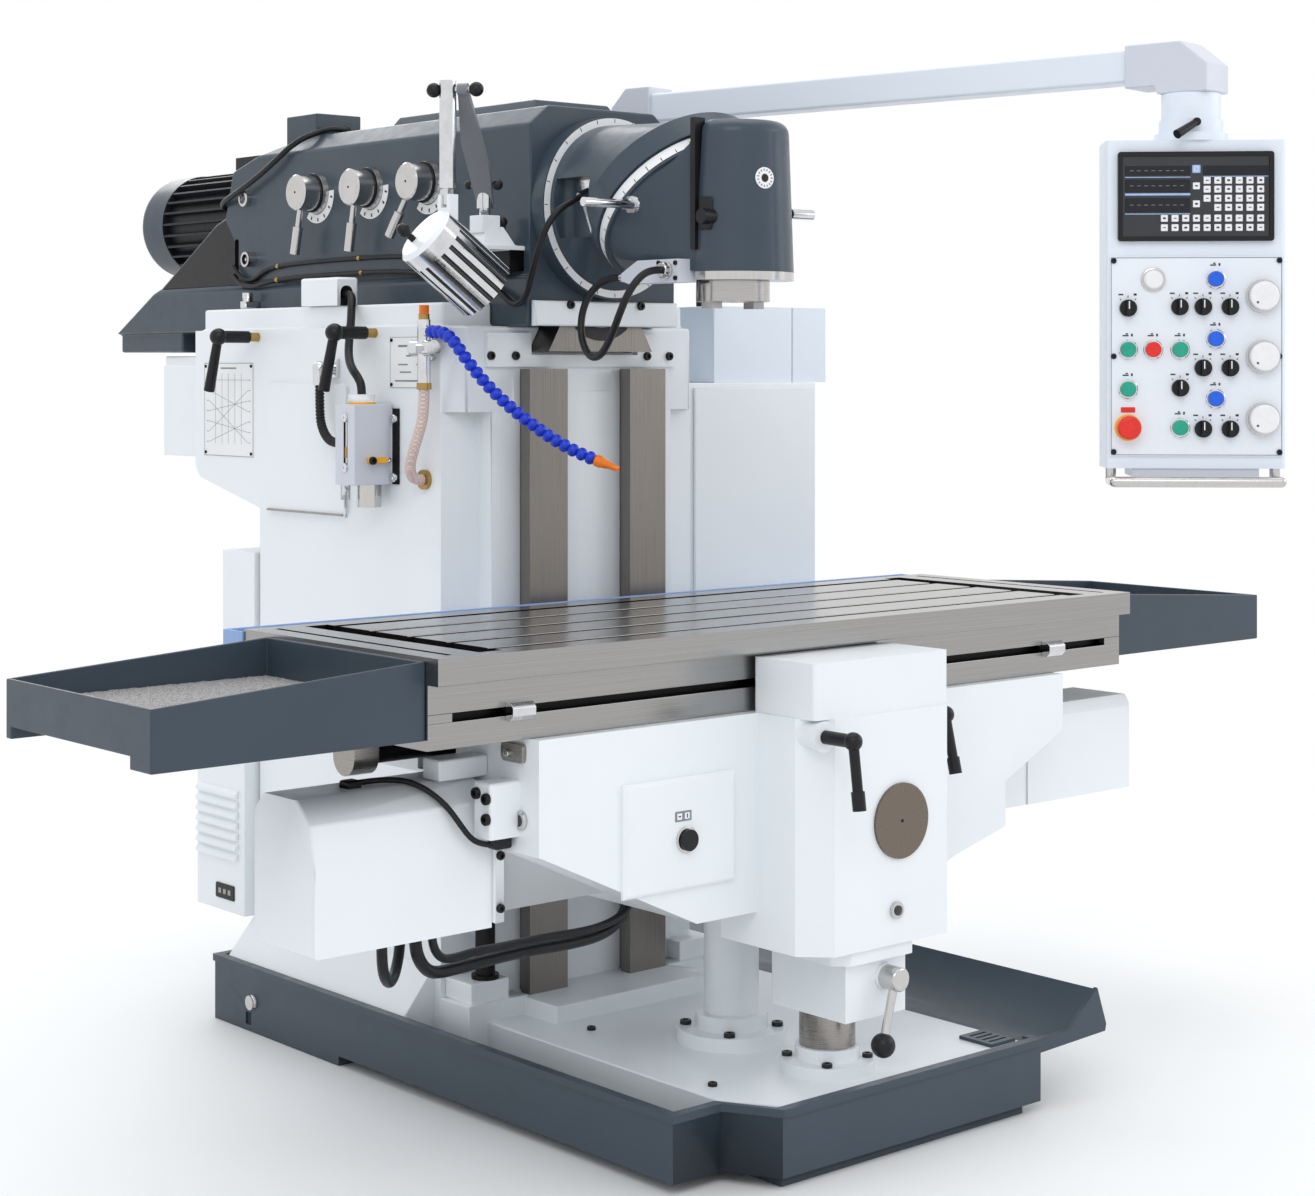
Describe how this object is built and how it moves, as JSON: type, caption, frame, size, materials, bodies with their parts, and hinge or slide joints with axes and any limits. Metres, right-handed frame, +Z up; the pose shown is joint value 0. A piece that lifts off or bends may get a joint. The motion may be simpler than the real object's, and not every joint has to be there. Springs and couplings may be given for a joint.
{
  "type": "ram milling machine",
  "caption": "Ram milling machine with a universal swivelling head, rising knee, long T-slotted table with chip trays and a control pendant on a swinging arm.",
  "frame": {"origin": "on the floor in the machine's middle plane, 40 mm behind the front of the column's head", "axes": "+Z up, +X along the table to the operator's right, +Y away from the operator"},
  "size_m": [2.5, 2.6192, 1.853],
  "materials": {
    "slate_paint": "semi gloss paint",
    "white_paint": "gloss paint",
    "pale_paint": "gloss paint",
    "ground_steel": "ground and scraped",
    "chrome": "polished",
    "black_plastic": "satin",
    "black_rubber": "satin",
    "clear_hose": "translucent braided hose",
    "blue_plastic": "moulded",
    "red_plastic": "moulded",
    "green_plastic": "moulded",
    "light_plastic": "moulded"
  },
  "bodies": {
    "frame": {"base_pan": "slate_paint", "base_plate": "white_paint", "column": "white_paint", "column_ways": "ground_steel", "rear_cabinet": "white_paint", "electrical_cabinet": "white_paint", "lubricator": "white_paint", "coolant_valve": "chrome", "lift_column": "white_paint", "support_column": "ground_steel", "nozzle_hose": "blue_plastic", "arm_post": "black_plastic", "column_conduits": "black_rubber", "coolant_hose": "clear_hose"},
    "ram_lever_front": {"ram_lever_front": "black_plastic"},
    "ram_lever_rear": {"ram_lever_rear": "black_plastic"},
    "ram": {"ram": "slate_paint", "ram_way": "ground_steel", "ram_covers": "slate_paint", "drive_motor": "black_plastic", "ram_cables": "black_rubber", "lamp_bracket": "white_paint", "swivel_cable": "black_rubber"},
    "speed_lever_1": {"speed_lever_1": "chrome"},
    "speed_lever_2": {"speed_lever_2": "chrome"},
    "speed_lever_3": {"speed_lever_3": "chrome"},
    "lamp_arm": {"lamp_arm": "ground_steel"},
    "lamp_link": {"lamp_link": "white_paint"},
    "lamp_head": {"lamp_head": "chrome"},
    "swivel": {"swivel_body": "slate_paint"},
    "head": {"spindle_head": "slate_paint", "head_cable": "black_rubber"},
    "spindle": {"spindle": "ground_steel"},
    "knee": {"knee": "white_paint", "knee_covers": "white_paint", "support_clamp": "white_paint", "knee_hoses": "black_rubber"},
    "support_lever": {"support_lever": "chrome"},
    "knee_lever_left": {"knee_lever_left": "black_plastic"},
    "knee_lever_right": {"knee_lever_right": "black_plastic"},
    "knee_button": {"knee_button": "black_plastic"},
    "table": {"table": "ground_steel", "chip_trays": "slate_paint", "rear_gutter": "pale_paint", "table_fittings": "ground_steel"},
    "pendant_arm": {"pendant_arm": "pale_paint"},
    "pendant": {"pendant_box": "pale_paint"},
    "pendant_lever": {"pendant_lever": "black_plastic"},
    "override_dial_1": {"override_dial_1": "light_plastic"},
    "override_dial_2": {"override_dial_2": "light_plastic"},
    "override_dial_3": {"override_dial_3": "light_plastic"},
    "button_blue_1": {"button_blue_1": "blue_plastic"},
    "button_blue_2": {"button_blue_2": "blue_plastic"},
    "button_blue_3": {"button_blue_3": "blue_plastic"},
    "button_green_1": {"button_green_1": "green_plastic"},
    "button_green_2": {"button_green_2": "green_plastic"},
    "button_green_3": {"button_green_3": "green_plastic"},
    "button_green_4": {"button_green_4": "green_plastic"},
    "button_red": {"button_red": "red_plastic"},
    "e_stop": {"e_stop": "red_plastic"}
  },
  "joints": [
    {"name": "ram_slide", "type": "slide", "parent": "frame", "child": "ram", "axis": [0, -1, 0], "range_m": [-0.06, 0.17]},
    {"name": "swivel_turn", "type": "hinge", "parent": "ram", "child": "swivel", "pos_m": [0, -0.1, 1.581], "axis": [0, 1, 0], "range_deg": [-90, 90], "deforming": ["swivel_cable"]},
    {"name": "head_tilt", "type": "hinge", "parent": "swivel", "child": "head", "pos_m": [0, -0.326, 1.581], "axis": [0, -0.7071, -0.7071], "range_deg": [0, 180]},
    {"name": "spindle_spin", "type": "hinge", "parent": "head", "child": "spindle", "pos_m": [0, -0.456, 1.402], "axis": [0, 0, 1], "continuous": true},
    {"name": "knee_lift", "type": "slide", "parent": "frame", "child": "knee", "axis": [0, 0, 1], "range_m": [-0.03, 0.2]},
    {"name": "table_feed", "type": "slide", "parent": "knee", "child": "table", "axis": [1, 0, 0], "range_m": [-0.4, 0.4]},
    {"name": "lamp_swing", "type": "hinge", "parent": "ram", "child": "lamp_arm", "pos_m": [-0.234, -0.049, 1.58], "axis": [0, 0, 1], "range_deg": [-12, 5]},
    {"name": "lamp_elbow", "type": "hinge", "parent": "lamp_arm", "child": "lamp_link", "pos_m": [-0.34011, -0.12752, 1.775], "axis": [-0.5948, 0.8039, 0], "range_deg": [0, 50]},
    {"name": "lamp_tilt", "type": "hinge", "parent": "lamp_link", "child": "lamp_head", "pos_m": [-0.35676, -0.10501, 1.582], "axis": [0, 1, 0], "range_deg": [0, 20]},
    {"name": "ram_lever_front_turn", "type": "hinge", "parent": "frame", "child": "ram_lever_front", "pos_m": [-0.35, 0.204, 1.352], "axis": [1, 0, 0], "range_deg": [-30, 30]},
    {"name": "ram_lever_rear_turn", "type": "hinge", "parent": "frame", "child": "ram_lever_rear", "pos_m": [-0.35, 0.617, 1.348], "axis": [1, 0, 0], "range_deg": [-30, 30]},
    {"name": "support_lever_turn", "type": "hinge", "parent": "knee", "child": "support_lever", "pos_m": [0.02, -0.82, 0.29], "axis": [0, 1, 0], "range_deg": [-20, 20]},
    {"name": "knee_lever_left_turn", "type": "hinge", "parent": "knee", "child": "knee_lever_left", "pos_m": [-0.14, -0.84, 0.7], "axis": [0, 1, 0], "range_deg": [-30, 30]},
    {"name": "knee_lever_right_turn", "type": "hinge", "parent": "knee", "child": "knee_lever_right", "pos_m": [0.17, -0.78, 0.7], "axis": [1, 0, 0], "range_deg": [-30, 30]},
    {"name": "knee_button_press", "type": "slide", "parent": "knee", "child": "knee_button", "axis": [0, 1, 0], "range_m": [0, 0.003], "stiffness_N_per_m": 1500, "springref_m": -0.002},
    {"name": "arm_swing", "type": "hinge", "parent": "frame", "child": "pendant_arm", "pos_m": [0.342, 0.18, 1.78], "axis": [0, 0, 1], "range_deg": [-8, 60]},
    {"name": "pendant_swivel", "type": "hinge", "parent": "pendant_arm", "child": "pendant", "pos_m": [0.54336, -1.02327, 1.74], "axis": [0, 0, 1], "range_deg": [-60, 60]},
    {"name": "pendant_lever_turn", "type": "hinge", "parent": "pendant", "child": "pendant_lever", "pos_m": [0.50447, -1.06216, 1.702], "axis": [0.7071, 0.7071, 0], "range_deg": [-20, 30]},
    {"name": "speed_lever_1_turn", "type": "hinge", "parent": "ram", "child": "speed_lever_1", "pos_m": [-0.18, 0.601, 1.64], "axis": [1, 0, 0], "range_deg": [-35, 35]},
    {"name": "speed_lever_2_turn", "type": "hinge", "parent": "ram", "child": "speed_lever_2", "pos_m": [-0.18, 0.409, 1.64], "axis": [1, 0, 0], "range_deg": [-35, 35]},
    {"name": "speed_lever_3_turn", "type": "hinge", "parent": "ram", "child": "speed_lever_3", "pos_m": [-0.18, 0.215, 1.64], "axis": [1, 0, 0], "range_deg": [-35, 35]},
    {"name": "override_dial_1_turn", "type": "hinge", "parent": "pendant", "child": "override_dial_1", "pos_m": [0.57871, -1.14348, 1.408], "axis": [0.7071, 0.7071, 0], "range_deg": [-150, 150]},
    {"name": "override_dial_2_turn", "type": "hinge", "parent": "pendant", "child": "override_dial_2", "pos_m": [0.57871, -1.14348, 1.306], "axis": [0.7071, 0.7071, 0], "range_deg": [-150, 150]},
    {"name": "override_dial_3_turn", "type": "hinge", "parent": "pendant", "child": "override_dial_3", "pos_m": [0.57871, -1.14348, 1.201], "axis": [0.7071, 0.7071, 0], "range_deg": [-150, 150]},
    {"name": "button_blue_1_press", "type": "slide", "parent": "pendant", "child": "button_blue_1", "axis": [0.7071, 0.7071, 0], "range_m": [0, 0.003], "stiffness_N_per_m": 800, "springref_m": -0.002},
    {"name": "button_blue_2_press", "type": "slide", "parent": "pendant", "child": "button_blue_2", "axis": [0.7071, 0.7071, 0], "range_m": [0, 0.003], "stiffness_N_per_m": 800, "springref_m": -0.002},
    {"name": "button_blue_3_press", "type": "slide", "parent": "pendant", "child": "button_blue_3", "axis": [0.7071, 0.7071, 0], "range_m": [0, 0.003], "stiffness_N_per_m": 800, "springref_m": -0.002},
    {"name": "button_green_1_press", "type": "slide", "parent": "pendant", "child": "button_green_1", "axis": [0.7071, 0.7071, 0], "range_m": [0, 0.003], "stiffness_N_per_m": 800, "springref_m": -0.002},
    {"name": "button_green_2_press", "type": "slide", "parent": "pendant", "child": "button_green_2", "axis": [0.7071, 0.7071, 0], "range_m": [0, 0.003], "stiffness_N_per_m": 800, "springref_m": -0.002},
    {"name": "button_green_3_press", "type": "slide", "parent": "pendant", "child": "button_green_3", "axis": [0.7071, 0.7071, 0], "range_m": [0, 0.003], "stiffness_N_per_m": 800, "springref_m": -0.002},
    {"name": "button_green_4_press", "type": "slide", "parent": "pendant", "child": "button_green_4", "axis": [0.7071, 0.7071, 0], "range_m": [0, 0.003], "stiffness_N_per_m": 800, "springref_m": -0.002},
    {"name": "button_red_press", "type": "slide", "parent": "pendant", "child": "button_red", "axis": [0.7071, 0.7071, 0], "range_m": [0, 0.003], "stiffness_N_per_m": 800, "springref_m": -0.002},
    {"name": "e_stop_press", "type": "slide", "parent": "pendant", "child": "e_stop", "axis": [0.7071, 0.7071, 0], "range_m": [0, 0.004], "stiffness_N_per_m": 1500, "springref_m": -0.002}
  ]
}
